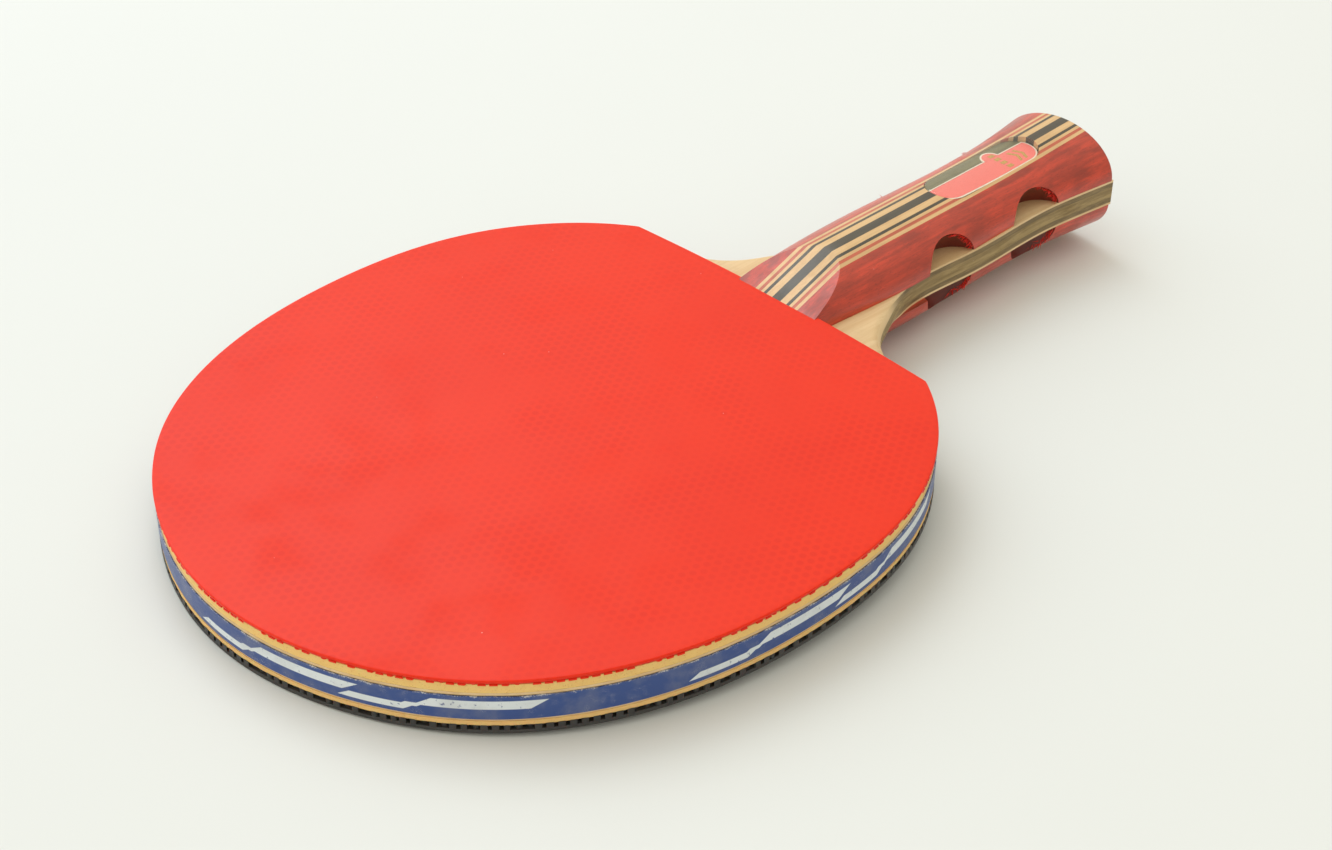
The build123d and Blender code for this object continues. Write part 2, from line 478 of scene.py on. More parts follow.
class Workshop:
    """Holds what all pieces share, and finishes them."""

    def __init__(self, bench: Bench) -> None:
        """Draws the shared groups and trees, for pieces that lie on this bench."""
        self.bench = bench
        self.head = Head.from_bench(bench)
        self.pins = pin_tree()
        self.groups = {
            Effect.GRAIN: group(Effect.GRAIN, {"Seed": 0.0, "Bands": 1.0}, draw_grain),
            Effect.WEAR: group(Effect.WEAR, {"Size": 1.0, "Seed": 0.0}, draw_wear),
            Effect.DUST: group(Effect.DUST, {"Spacing": 6.0, "Speck": 0.18}, draw_dust),
            Effect.PIMPLES: group(Effect.PIMPLES, {"Pitch": 2.0, "Dot": 0.55}, draw_pimples),
        }

    def start(self, name: str) -> tuple[bpy.types.Material, Brush]:
        """A new material and its wiring."""
        material = bpy.data.materials.new(name)
        material.use_nodes = True
        return material, Brush(material.node_tree, self.bench, self.groups)

    def shape(self, name: str, vertices: np.ndarray, faces: Faces) -> bpy.types.Object:
        """A closed, outward-facing object, still flat on the bench.

        Args:
            name: The piece's name.
            vertices: Its vertices on the bench.
            faces: Its faces, as lists of vertex numbers.

        Returns:
            The object.
        """
        mesh = bpy.data.meshes.new(name)
        mesh.from_pydata([tuple(v) for v in vertices], [], faces)
        shape = bmesh.new()
        shape.from_mesh(mesh)
        bmesh.ops.remove_doubles(shape, verts=shape.verts, dist=WELD)
        bmesh.ops.dissolve_degenerate(shape, edges=shape.edges, dist=WELD)
        bmesh.ops.recalc_face_normals(shape, faces=shape.faces)
        shape.to_mesh(mesh)
        shape.free()
        made = bpy.data.objects.new(name, mesh)
        bpy.context.scene.collection.objects.link(made)
        return made

    def finish(
        self, piece: bpy.types.Object, material: bpy.types.Material, slot: Slot, *nodes: str, crease: float = 35.0
    ) -> None:
        """Lays a flat object on the table, dresses it, hangs it under the body and hides the frame nodes it stands
        for.

        Args:
            piece: The object, still on the bench.
            material: Its finish.
            slot: The record's material slot; not used.
            nodes: The frame nodes it stands for.
            crease: Edges between faces that turn more than this stay sharp, in degrees.
        """
        piece.data.transform(self.bench.matrix)
        piece.data.materials.clear()
        piece.data.materials.append(material)
        for polygon in piece.data.polygons:
            polygon.use_smooth = len(polygon.vertices) < 5
        piece.data.set_sharp_from_angle(angle=math.radians(crease))
        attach(piece, BODY)
        if nodes:
            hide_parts(*nodes)
        log.info("%s: %d faces, stands for %s", piece.name, len(piece.data.polygons), nodes or "no node")


def vertex_places(piece: bpy.types.Object) -> np.ndarray:
    """The places of a piece's vertices, one row each."""
    return np.array([tuple(vertex.co) for vertex in piece.data.vertices])


def mark(piece: bpy.types.Object, name: str, domain: str, values: Sequence[float]) -> None:
    """Stores a number on each point or face of a piece."""
    piece.data.attributes.new(name, "FLOAT", domain).data.foreach_set("value", np.array(values, dtype=np.float32))


# ---------------------------------------------------------------- finishes


def paint(red: float, green: float, blue: float) -> Colour:
    """A colour given as on a screen, 0 to 255, as light."""
    shares = (value / 255 for value in (red, green, blue))
    return tuple(share / 12.92 if share <= 0.04045 else ((share + 0.055) / 1.055) ** 2.4 for share in shares)


@dataclass(frozen=True)
class Finish(ABC):
    """How a material is made.

    Args:
        name: The material's name.
    """

    name: str

    def build(self, shop: Workshop) -> bpy.types.Material:
        """Makes the material.

        Args:
            shop: Where materials are made.

        Returns:
            The finished material.
        """
        material, w = shop.start(self.name)
        self.draw(w)
        return material

    @abstractmethod
    def draw(self, w: Brush) -> None:
        """Draws the pattern and feeds the shader."""


@dataclass(frozen=True)
class WoodFinish(Finish):
    """Sanded wood, bare or sealed.

    Args:
        name: The material's name.
        main: Its main colour.
        dark: Its grain's colour.
        grain: How strongly the bands show, 0 to 1.
        pores: How strongly the open pores show, 0 to 1.
        bands: Bands for each unit of width.
        rough: The surface's roughness.
        sealed: Weight of the clear coat.
        seed: Shifts the pattern.
        mottle: How strongly dark clouds show, 0 to 1.
        sanded: Its colour where the wings' edges are sanded.
    """

    main: Colour
    dark: Colour
    grain: float
    pores: float
    bands: float
    rough: float
    sealed: float = 0.0
    seed: float = 0.0
    mottle: float = 0.1
    sanded: Optional[Colour] = None

    def draw(self, w: Brush) -> None:
        """Draws bands, fibres, pores, smudges and dust, and darkens the scooped faces in the vents: painted shade
        over their bare end grain.
        """
        grain = w.effect(Effect.GRAIN, Seed=self.seed, Bands=self.bands)
        smudge = w.effect(Effect.WEAR, Size=1.0, Seed=self.seed)["Smudge"]
        specks = w.effect(Effect.DUST, Spacing=4.0, Speck=0.16)["Specks"]
        deep = tuple(channel * 0.35 for channel in self.dark)
        pore = w.times(grain["Pore"], self.pores)
        patch = w.noise(w.stretched(w.place, (0.3, 0.07, 0.3), (self.seed, 0, 0)), 1.0, 4.0, 0.65)
        colour = w.blend(w.times(grain["Band"], self.grain), self.main, self.dark)
        colour = w.blend(w.times(grain["Fibre"], 0.35 * self.grain), colour, self.dark)
        colour = w.blend(pore, colour, deep)
        colour = w.blend(w.times(smudge, 0.12), colour, deep)
        colour = w.blend(w.times(w.spread(patch, 0.42, 0.68), self.mottle), colour, self.dark)
        if self.sanded:
            colour = w.blend(w.attribute("sanded"), colour, self.sanded)
        # Painted shade: faces in the vents go dark towards the deep colour, partly for their bare end grain, partly
        # for the shade inside the scoops.
        colour = w.blend(w.times(w.attribute("scooped"), 0.8), colour, deep)
        colour = w.blend(w.times(specks, 0.4), colour, (0.85, 0.82, 0.76))
        rough = w.spread(smudge, 0.0, 1.0, self.rough - 0.06, self.rough + 0.09)
        relief = w.maths("SUBTRACT", w.times(grain["Fibre"], 0.35), pore)
        w.connect(Base_Color=colour, Roughness=rough, Normal=w.bumped(relief, 0.03 * MM, 0.6))
        w.connect(Coat_Weight=self.sealed, Coat_Roughness=0.3)


@dataclass(frozen=True)
class RubberFinish(Finish):
    """The smooth side of a pimpled rubber sheet.

    Args:
        name: The material's name.
        main: Its colour.
        ghost: Its colour over a pimple.
        pitch: Distance between pimples, in millimetres.
        dot: A pimple's radius, in millimetres.
        rough: The surface's roughness.
        gloss: The shader's specular level.
    """

    main: Colour
    ghost: Colour
    pitch: float
    dot: float
    rough: float
    gloss: float

    def draw(self, w: Brush) -> None:
        """Draws the pimples' ghosts, clouds, lint and scuffs."""
        dots = w.effect(Effect.PIMPLES, Pitch=self.pitch, Dot=self.dot)["Dots"]
        wear = w.effect(Effect.WEAR, Size=0.8, Seed=11.0)
        specks = w.effect(Effect.DUST, Spacing=6.0, Speck=0.16)["Specks"]
        cloud = w.spread(w.noise(w.place, 0.035, 3.0), 0.35, 0.7)
        patchy = w.spread(w.noise(w.place, 0.06, 2.0), 0.3, 0.7, 0.1, 0.5)
        colour = w.blend(w.times(dots, patchy), self.main, self.ghost)
        colour = w.blend(w.times(cloud, 0.25), colour, self.ghost)
        colour = w.blend(w.times(specks, 0.5), colour, (0.9, 0.72, 0.66))
        rough = w.maths("ADD", w.times(wear["Smudge"], 0.1), self.rough)
        rough = w.maths("ADD", rough, w.times(wear["Scratch"], 0.1))
        relief = w.maths("ADD", w.times(dots, 0.5), w.times(w.noise(w.place, 3.0, 2.0), 0.5))
        w.connect(Base_Color=colour, Roughness=rough, Normal=w.bumped(relief, 0.012 * MM, 0.5))
        w.connect(Specular_IOR_Level=self.gloss, Subsurface_Weight=0.3, Subsurface_Scale=0.8 * MM)


@dataclass(frozen=True)
class FoamFinish(Finish):
    """Fine open-celled sponge, cut at its edge.

    Args:
        name: The material's name.
        main: Its colour.
        deep: The colour in its pores.
    """

    main: Colour
    deep: Colour

    def draw(self, w: Brush) -> None:
        """Draws the cut cells."""
        cells = w.add("TexVoronoi", {"Vector": w.place, "Scale": 3.4, "Randomness": 1.0}, feature="F1")
        some = w.spread(w.noise(w.place, 1.7, 2.0), 0.5, 0.62)
        pore = w.times(w.spread(cells.outputs["Distance"], 0.12, 0.42, 1.0, 0.0), some)
        tone = w.blend(w.times(w.noise(w.place, 0.25, 3.0), 0.3), self.main, self.deep)
        colour = w.blend(w.times(pore, 0.55), tone, self.deep)
        relief = w.maths("SUBTRACT", w.times(w.noise(w.place, 6.0, 2.0), 0.3), pore)
        w.connect(Base_Color=colour, Roughness=0.9, Normal=w.bumped(relief, 0.08 * MM, 0.8))
        w.connect(Subsurface_Weight=0.25, Subsurface_Scale=0.8 * MM, Specular_IOR_Level=0.25)


@dataclass(frozen=True)
class TapeFinish(Finish):
    """Printed edge tape: a row of slanted bars on a dark ground.

    Args:
        name: The material's name.
        ground: The tape's colour.
        bar: The bars' colour.
        fray: The torn backing's colour.
        top: The tape's upper edge, in millimetres over the blade's middle plane.
        motifs: Where each motif starts along the edge within one repeat, in millimetres.
        repeat: Length of one repeat, in millimetres.
        bars: Each bar of a motif: its lower corners along the tape, and its lower and upper edges.
        lean: How far the bars' ends lean, for each unit of height.
    """

    ground: Colour
    bar: Colour
    fray: Colour
    top: float
    motifs: tuple[float, ...]
    repeat: float
    bars: tuple[tuple[float, float, float, float], ...] = (
        (0.0, 13.2, -1.95, -0.5), (12.2, 15.8, -0.9, -0.05), (15.2, 37.0, -0.4, 1.6)
    )
    lean: float = 1.7

    def between(self, w: Brush, value: object, low: float, high: float, soft: float) -> object:
        """A mask that is 1 where a value lies between two others."""
        rise = w.spread(value, low - soft, low + soft)
        return w.times(rise, w.spread(value, high - soft, high + soft, 1.0, 0.0))

    def printed(self, w: Brush, z: object) -> object:
        """The mask of all bars, at a height over the middle plane."""
        marks = 0.0
        for start in self.motifs:
            run = w.maths("DIVIDE", w.maths("SUBTRACT", w.attribute("along"), start), self.repeat)
            u = w.times(w.maths("FRACT", run), self.repeat)
            for left, right, low, high in self.bars:
                leant = w.maths("SUBTRACT", u, w.times(w.maths("SUBTRACT", z, low), self.lean))
                mark = w.times(self.between(w, leant, left, right, 0.1), self.between(w, z, low, high, 0.08))
                marks = w.maths("MAXIMUM", marks, mark)
        return marks

    def draw(self, w: Brush) -> None:
        """Draws the bars, their wear, and the frayed upper edge."""
        z = w.add("SeparateXYZ", {0: w.place}).outputs[2]
        wear = w.effect(Effect.WEAR, Size=2.0, Seed=3.0)
        thread = w.noise(w.stretched(w.place, (0.9, 0.9, 9.0)), 1.0, 2.0)
        worn = w.times(self.printed(w, z), w.spread(w.noise(w.place, 0.9, 5.0, 0.7), 0.3, 0.42))
        fuzz = w.maths("ADD", w.noise(w.place, 4.0, 4.0, 0.75), w.times(w.noise(w.place, 0.5, 3.0), 0.7))
        below = w.times(w.maths("SUBTRACT", z, self.top), 0.42)
        torn = w.spread(w.maths("ADD", fuzz, below), 0.72, 0.98, 0.0, 0.9)
        colour = w.blend(worn, self.ground, self.bar)
        colour = w.blend(w.maths("MAXIMUM", torn, w.times(wear["Scratch"], 0.6)), colour, self.fray)
        colour = w.blend(w.times(wear["Smudge"], 0.2), colour, (0.3, 0.3, 0.31))
        relief = w.maths("ADD", w.times(thread, 0.5), w.times(torn, 0.8))
        w.connect(Base_Color=colour, Roughness=w.spread(thread, 0.3, 0.7, 0.3, 0.46))
        w.connect(Normal=w.bumped(relief, 0.03 * MM, 0.6))


@dataclass(frozen=True)
class PrintFinish(Finish):
    """Ink or foil on the badge.

    Args:
        name: The material's name.
        main: Its colour.
        metal: How metallic it is.
        rough: The surface's roughness.
    """

    main: Colour
    metal: float = 0.0
    rough: float = 0.4

    def draw(self, w: Brush) -> None:
        """Draws faint speckles."""
        speckle = w.spread(w.noise(w.place, 4.0, 3.0), 0.35, 0.7)
        shade = tuple(channel * 0.75 for channel in self.main)
        rough = w.spread(speckle, 0.0, 1.0, self.rough - 0.05, self.rough + 0.08)
        w.connect(Base_Color=w.blend(w.times(speckle, 0.35), self.main, shade), Roughness=rough)
        w.connect(Metallic=self.metal, Normal=w.bumped(speckle, 0.01 * MM, 0.5))


@dataclass(frozen=True)
class LensFinish(Finish):
    """Clear poured resin, which only mirrors on its outside."""

    def draw(self, w: Brush) -> None:
        """Mixes a clear view with a mirror that grows towards the edge of sight."""
        scratch = w.effect(Effect.WEAR, Size=3.0, Seed=5.0)["Scratch"]
        normal = w.bumped(w.noise(w.place, 0.22, 2.0), 0.04 * MM, 0.35)
        rough = w.maths("ADD", w.times(scratch, 0.15), 0.06)
        w.connect(Base_Color=(1.0, 0.99, 0.97), Metallic=1.0, Roughness=rough, Normal=normal)
        outside = w.maths("SUBTRACT", 1.0, w.add("NewGeometry").outputs["Backfacing"])
        edge = w.times(w.add("Fresnel", {"IOR": 1.5, "Normal": normal}).outputs[0], outside)
        clear = w.add("BsdfTransparent").outputs[0]
        mixed = w.add("MixShader", {0: edge, 1: clear, 2: w.shader.outputs[0]})
        target = next(node for node in w.tree.nodes if node.type == "OUTPUT_MATERIAL")
        w.feed(target, {"Surface": mixed.outputs[0]})


@dataclass(frozen=True)
class FloorFinish(Finish):
    """Matt pale paper.

    Args:
        name: The material's name.
        main: Its colour.
    """

    main: Colour

    def draw(self, w: Brush) -> None:
        """Draws faint broad clouds."""
        tone = w.spread(w.noise(w.place, 0.004, 3.0), 0.3, 0.7)
        shade = tuple(channel * 0.985 for channel in self.main)
        w.connect(Base_Color=w.blend(tone, self.main, shade), Roughness=0.7, Specular_IOR_Level=0.25)


# ---------------------------------------------------------------- geometry trees


class Growth(Wiring):
    """Geometry nodes that stand a shape on every point."""

    prefix = ""

    def __init__(self, name: str, kinds: dict[str, str]) -> None:
        """Starts the tree.

        Args:
            name: The tree's name.
            kinds: Its inputs beside the points, and the kind of each.
        """
        super().__init__(bpy.data.node_groups.new(name, "GeometryNodeTree"))
        face = self.tree.interface
        face.new_socket("Geometry", in_out="INPUT", socket_type="NodeSocketGeometry")
        self.inputs = {
            key: face.new_socket(key, in_out="INPUT", socket_type="NodeSocket" + kind).identifier
            for key, kind in kinds.items()
        }
        face.new_socket("Geometry", in_out="OUTPUT", socket_type="NodeSocketGeometry")
        self.given = self.add("NodeGroupInput").outputs

    def stand(self, shape: bpy.types.Node, **turned: object) -> None:
        """Ends the tree: the shape on every point, made real and dressed.

        Args:
            shape: The shape's node.
            turned: The copies' rotation and scale.
        """
        inputs = {"Points": self.given["Geometry"], "Instance": shape.outputs["Mesh"], **turned}
        stood = self.add("GeometryNodeInstanceOnPoints", inputs).outputs[0]
        real = self.add("GeometryNodeRealizeInstances", {"Geometry": stood}).outputs[0]
        dressed = self.add("GeometryNodeSetMaterial", {"Geometry": real, "Material": self.given["Finish"]})
        self.add("NodeGroupOutput", {"Geometry": dressed.outputs[0]})

    def grow(
        self, name: str, points: np.ndarray, values: dict[str, object], ways: Optional[np.ndarray] = None
    ) -> bpy.types.Object:
        """Runs the tree on points and keeps the result as a plain mesh.

        Args:
            name: The new object's name.
            points: The points.
            values: Input values by name.
            ways: A direction for each point, read by the tree as the attribute "way".

        Returns:
            The new object.
        """
        cloud = bpy.data.meshes.new(name)
        cloud.from_pydata([tuple(point) for point in points], [], [])
        if ways is not None:
            cloud.attributes.new("way", "FLOAT_VECTOR", "POINT").data.foreach_set("vector", ways.ravel())
        made = bpy.data.objects.new(name, cloud)
        bpy.context.scene.collection.objects.link(made)
        modifier = made.modifiers.new("grow", "NODES")
        modifier.node_group = self.tree
        for key, value in values.items():
            modifier[self.inputs[key]] = value
        bpy.context.view_layer.update()
        graph = bpy.context.evaluated_depsgraph_get()
        mesh = bpy.data.meshes.new_from_object(made.evaluated_get(graph))
        made.modifiers.clear()
        made.data = mesh
        return made


def pin_tree() -> Growth:
    """The tree that stands a pimple on every point."""
    tree = Growth("pimple_pins", {"Radius": "Float", "Height": "Float", "Sides": "Int", "Finish": "Material"})
    given = tree.given
    sizes = {"Radius": given["Radius"], "Depth": given["Height"], "Vertices": given["Sides"]}
    tree.stand(tree.add("GeometryNodeMeshCylinder", sizes))
    return tree


def fibre_tree() -> Growth:
    """The tree that grows a tapered fibre from every point, along the point's way."""
    kinds = {"Root": "Float", "Length": "Float", "Splay": "Float", "Seed": "Int", "Finish": "Material"}
    tree = Growth("torn_fibres", kinds)
    given = tree.given
    sizes = {"Vertices": 5, "Radius Top": 0.012 * MM, "Radius Bottom": given["Root"], "Depth": given["Length"]}
    fibre = tree.add("GeometryNodeMeshCone", sizes)
    way = tree.add("GeometryNodeInputNamedAttribute", {"Name": "way"}, data_type="FLOAT_VECTOR")
    spans = {0: (-1, -1, -1), 1: (1, 1, 1), "Seed": given["Seed"]}
    sideways = tree.add("FunctionNodeRandomValue", spans, data_type="FLOAT_VECTOR")
    pull = {0: sideways.outputs[0], "Scale": given["Splay"]}
    splayed = tree.add("ShaderNodeVectorMath", pull, operation="SCALE")
    both = {0: way.outputs["Attribute"], 1: splayed.outputs[0]}
    total = tree.add("ShaderNodeVectorMath", both, operation="ADD")
    align = tree.add("FunctionNodeAlignRotationToVector", {"Vector": total.outputs[0]}, axis="Z")
    size = tree.add("FunctionNodeRandomValue", {2: 0.3, 3: 1.0, "Seed": given["Seed"]}, data_type="FLOAT")
    tree.stand(fibre, Rotation=align.outputs["Rotation"], Scale=size.outputs[1])
    return tree


# ---------------------------------------------------------------- rubbers and tape


@dataclass
class Rubber:
    """One rubber: a pimpled sheet on a sponge, on one side of the blade.

    Args:
        side: 1 for the front, -1 for the back.
        sponge: The sponge's frame node.
        sheet: The sheet's frame node.
        finish: The sheet's finish.
        foam: The sponge's finish.
        slot: The sheet's material slot.
        pins: The pimples' height.
        foam_inset: How far the sponge stands back from the sheet's edge.
        pitch: Distance between pimples.
        radius: A pimple's radius.
        sides: How many sides a pimple has.
        bite: How far a pimple sinks into the sheet and the sponge together.
        band: How far inside the edge pimples are made.
        lip: Radius of the sheet's moulded edge.
        sink: How far the face falls to the round edge.
        blend: Distance from the straight edge over which the fall grows.
    """

    side: int
    sponge: str
    sheet: str
    finish: RubberFinish
    foam: FoamFinish
    slot: Slot
    pins: float
    foam_inset: float
    pitch: float = 2.2 * MM
    radius: float = 0.0
    sides: int = 12
    bite: float = 0.1 * MM
    band: float = 5.0 * MM
    lip: float = 0.28 * MM
    sink: float = 0.05 * MM
    blend: float = 12.0 * MM

    def span(self, bench: Bench, node: str) -> tuple[float, float]:
        """A frame node's two distances from the blade's middle plane, the smaller one first."""
        return tuple(sorted(level * self.side for level in bench.levels(node)))

    def sheet_rings(self, head: Head, low: float, high: float) -> list[np.ndarray]:
        """The sheet's rings, from its underside to its face.

        Args:
            head: The head's outline.
            low: The underside's distance from the middle plane.
            high: The face's distance.

        Returns:
            One ring for each step of the edge's profile.
        """
        uneven = (ripple(len(head.loop), 5 + self.side) + 1) * 0.09 * MM
        profile = [(low, 0.5 * MM, 0.0), (low, 0.12 * MM, 1.0), (low + 0.15 * MM, 0.0, 1.0)]
        for angle in np.linspace(0, math.pi / 2, 6):
            profile.append((high - self.lip * (1 - math.sin(angle)), self.lip * (1 - math.cos(angle)), 0.0))
        profile += [(high, inset, 0.0) for inset in millimetres(0.6, 0.9, 1.3)]
        sunk = self.sink * np.clip((head.loop[:, 1].max() - head.loop[:, 1]) / self.blend, 0, 1)
        rings = []
        for z, inset, share in profile:
            slope = np.clip((1.3 * MM - inset) / (1.2 * MM), 0, 1) if z > high - self.lip * 1.01 else 0.0
            level = z - sunk * slope * slope * (3 - 2 * slope)
            rings.append(at_height(inset_loop(head.loop, inset + uneven * share), self.side * level))
        return rings

    def pin_points(self, head: Head) -> np.ndarray:
        """Places of the pimples near the edge, in staggered rows."""
        low, high = head.loop.min(axis=0) - self.pitch, head.loop.max(axis=0) + self.pitch
        row = self.pitch * math.sqrt(3)
        cells = np.stack(np.meshgrid(
            np.arange(math.floor(low[0] / self.pitch), math.ceil(high[0] / self.pitch)) * self.pitch,
            np.arange(math.floor(low[1] / row), math.ceil(high[1] / row)) * row,
        ), axis=2).reshape(-1, 2)
        lattice = np.concatenate([cells, cells + (self.pitch / 2, row / 2)])
        depth, _ = head.depth(lattice)
        return lattice[(depth > -0.6 * self.radius) & (depth < self.band)]

    def build(self, shop: Workshop) -> None:
        """Builds and dresses the sheet, its pimples and the sponge.

        Args:
            shop: Where pieces are made.
        """
        head, rubber = shop.head, self.finish.build(shop)
        foot, face = self.span(shop.bench, self.sheet)
        under = foot + self.pins
        sheet = shop.shape(self.sheet + "_face", *capped(self.sheet_rings(head, under, face)))
        shop.finish(sheet, rubber, self.slot, self.sheet)
        middles = at_height(self.pin_points(head), self.side * (foot + under) / 2)
        values = {"Radius": self.radius, "Height": self.pins + self.bite, "Sides": self.sides, "Finish": rubber}
        pimples = shop.pins.grow(self.sheet + "_pimples", middles, values)
        places = vertex_places(pimples)
        depth, nearest = head.depth(places[:, :2])
        places[:, :2] += inward_normals(head.loop)[nearest] * np.maximum(0.03 * MM - depth, 0)[:, None]
        pimples.data.vertices.foreach_set("co", places.ravel())
        shop.finish(pimples, rubber, self.slot)
        rings = []
        for number, level in enumerate(np.linspace(*self.span(shop.bench, self.sponge), 6)):
            uneven = (ripple(len(head.loop), 20 + number + self.side, 140, 30) + 1) * 0.07 * MM
            rings.append(at_height(inset_loop(head.loop, self.foam_inset + uneven), self.side * level))
        sponge = shop.shape(self.sponge + "_cut", *capped(rings))
        shop.finish(sponge, self.foam.build(shop), Slot.SPONGE, self.sponge)


@dataclass
class EdgeTape:
    """The band round the blade's edge.

    Args:
        finish: Its finish.
        clear: How far its outside stays inside the rubbers' outline.
        thick: Its thickness.
        ragged: How much its upper edge wavers.
    """

    finish: TapeFinish
    clear: float = 0.05 * MM
    thick: float = 0.22 * MM
    ragged: float = 0.16 * MM

    def build(self, shop: Workshop) -> None:
        """Builds and dresses the band.

        Args:
            shop: Where pieces are made.
        """
        head = shop.head
        stop = float(shop.bench.flat_vertices("edge_tape")[:, 1].max())
        low, high = shop.bench.levels("edge_tape")
        along = head.along
        order = np.argsort(along)
        order = order[head.loop[order][:, 1] < stop]
        outer = inset_loop(head.loop, self.clear)[order]
        inner = inset_loop(head.loop, self.clear + self.thick)[order]
        edge = high - self.ragged + ripple(len(head.loop), 8, 160, 20)[order] * self.ragged
        rings = []
        for number, top in enumerate(edge):
            wall = [(*outer[number], level) for level in np.linspace(low, top, 7)]
            wall += [(*inner[number], level) for level in np.linspace(top, low, 3)]
            rings.append(np.array(wall))
        band = shop.shape("edge_tape_band", *capped(rings))
        _, nearest = head.depth(vertex_places(band)[:, :2])
        mark(band, "along", "POINT", along[nearest])
        shop.finish(band, self.finish.build(shop), Slot.TAPE, "edge_tape")


# ---------------------------------------------------------------- blade and handle


@dataclass
class Blade:
    """The five plies, with sanded wings.

    Args:
        finishes: Each ply's node with its finish and slot.
        sanded: Radius that the wings' edges are sanded to.
        fade: Where the sanding starts, is full, starts to end and has ended, from the tip.
    """

    finishes: dict[str, tuple[WoodFinish, Slot]]
    sanded: float = 2.4 * MM
    fade: tuple[float, float, float, float] = (152.3 * MM, 156.0 * MM, 171.0 * MM, 181.0 * MM)

    def share(self, y: np.ndarray) -> np.ndarray:
        """How fully the edge is sanded at each place along the paddle, 0 to 1."""

        def ease(start: float, end: float) -> np.ndarray:
            """A smooth step from 0 to 1."""
            t = np.clip((y - start) / (end - start), 0, 1)
            return t * t * (3 - 2 * t)

        return ease(*self.fade[:2]) * (1 - ease(*self.fade[2:]))

    def build(self, shop: Workshop) -> None:
        """Builds and dresses the plies.

        Args:
            shop: Where pieces are made.
        """
        loop = smooth_loop(shop.bench.face_outline("core_ply"), 0.7 * MM)
        share = self.share(loop[:, 1])
        straight = shop.bench.levels("front_outer_ply")[1] - self.sanded
        for node, (finish, slot) in self.finishes.items():
            rings = []
            for level in np.linspace(*shop.bench.levels(node), 8):
                over = max(0.0, abs(float(level)) - straight)
                inset = self.sanded - math.sqrt(max(0.0, self.sanded**2 - over**2))
                rings.append(at_height(inset_loop(loop, share * inset), float(level)))
            ply = shop.shape(node + "_cut", *capped(rings))
            spots = vertex_places(ply)
            slope = self.share(spots[:, 1]) * np.clip((np.abs(spots[:, 2]) - straight) / (0.6 * MM), 0, 1)
            mark(ply, "sanded", "POINT", slope)
            shop.finish(ply, finish.build(shop), slot, node)


@dataclass
class Handle:
    """The glued strips of the two scales.

    Args:
        finishes: A strip's finish and slot for each ending of its node's name.
        vents: Middles (y, z) of the balls that scoop the front vents; the back ones mirror them.
        vent_out: The balls' distance from the axis.
        vent_radius: Their radius.
    """

    finishes: dict[str, tuple[WoodFinish, Slot]]
    vents: tuple[tuple[float, float], ...] = ((197.9 * MM, 2.2 * MM), (229.8 * MM, 2.2 * MM))
    vent_out: float = 16.0 * MM
    vent_radius: float = 8.6 * MM

    def scooped(self, corner: Vector, vent: tuple[float, float]) -> bool:
        """True where a point lies on a vent's ball."""
        off = math.dist((abs(corner.x), corner.y, abs(corner.z)), (self.vent_out, *vent)) - self.vent_radius
        return abs(off) < 0.03 * MM

    def build(self, shop: Workshop) -> None:
        """Dresses a merged copy of each strip, with its faces in the vents marked for painted shade.

        Args:
            shop: Where pieces are made.
        """
        dressed = {ending: (finish.build(shop), slot) for ending, (finish, slot) in self.finishes.items()}
        for node in sorted(frame["nodes"]):
            for ending, (material, slot) in dressed.items():
                if node.endswith(ending):
                    faces = [list(polygon.vertices) for polygon in frame["nodes"][node].data.polygons]
                    strip = shop.shape(node + "_strip", shop.bench.flat_vertices(node), faces)
                    corners = [
                        [strip.data.vertices[number].co for number in polygon.vertices]
                        for polygon in strip.data.polygons
                    ]
                    # The scooped mark darkens the vents' faces: painted shade, partly the darker bare end grain.
                    mark(strip, "scooped", "FACE", [
                        any(all(self.scooped(corner, vent) for corner in face) for vent in self.vents)
                        for face in corners
                    ])
                    shop.finish(strip, material, slot, node, crease=24.0)


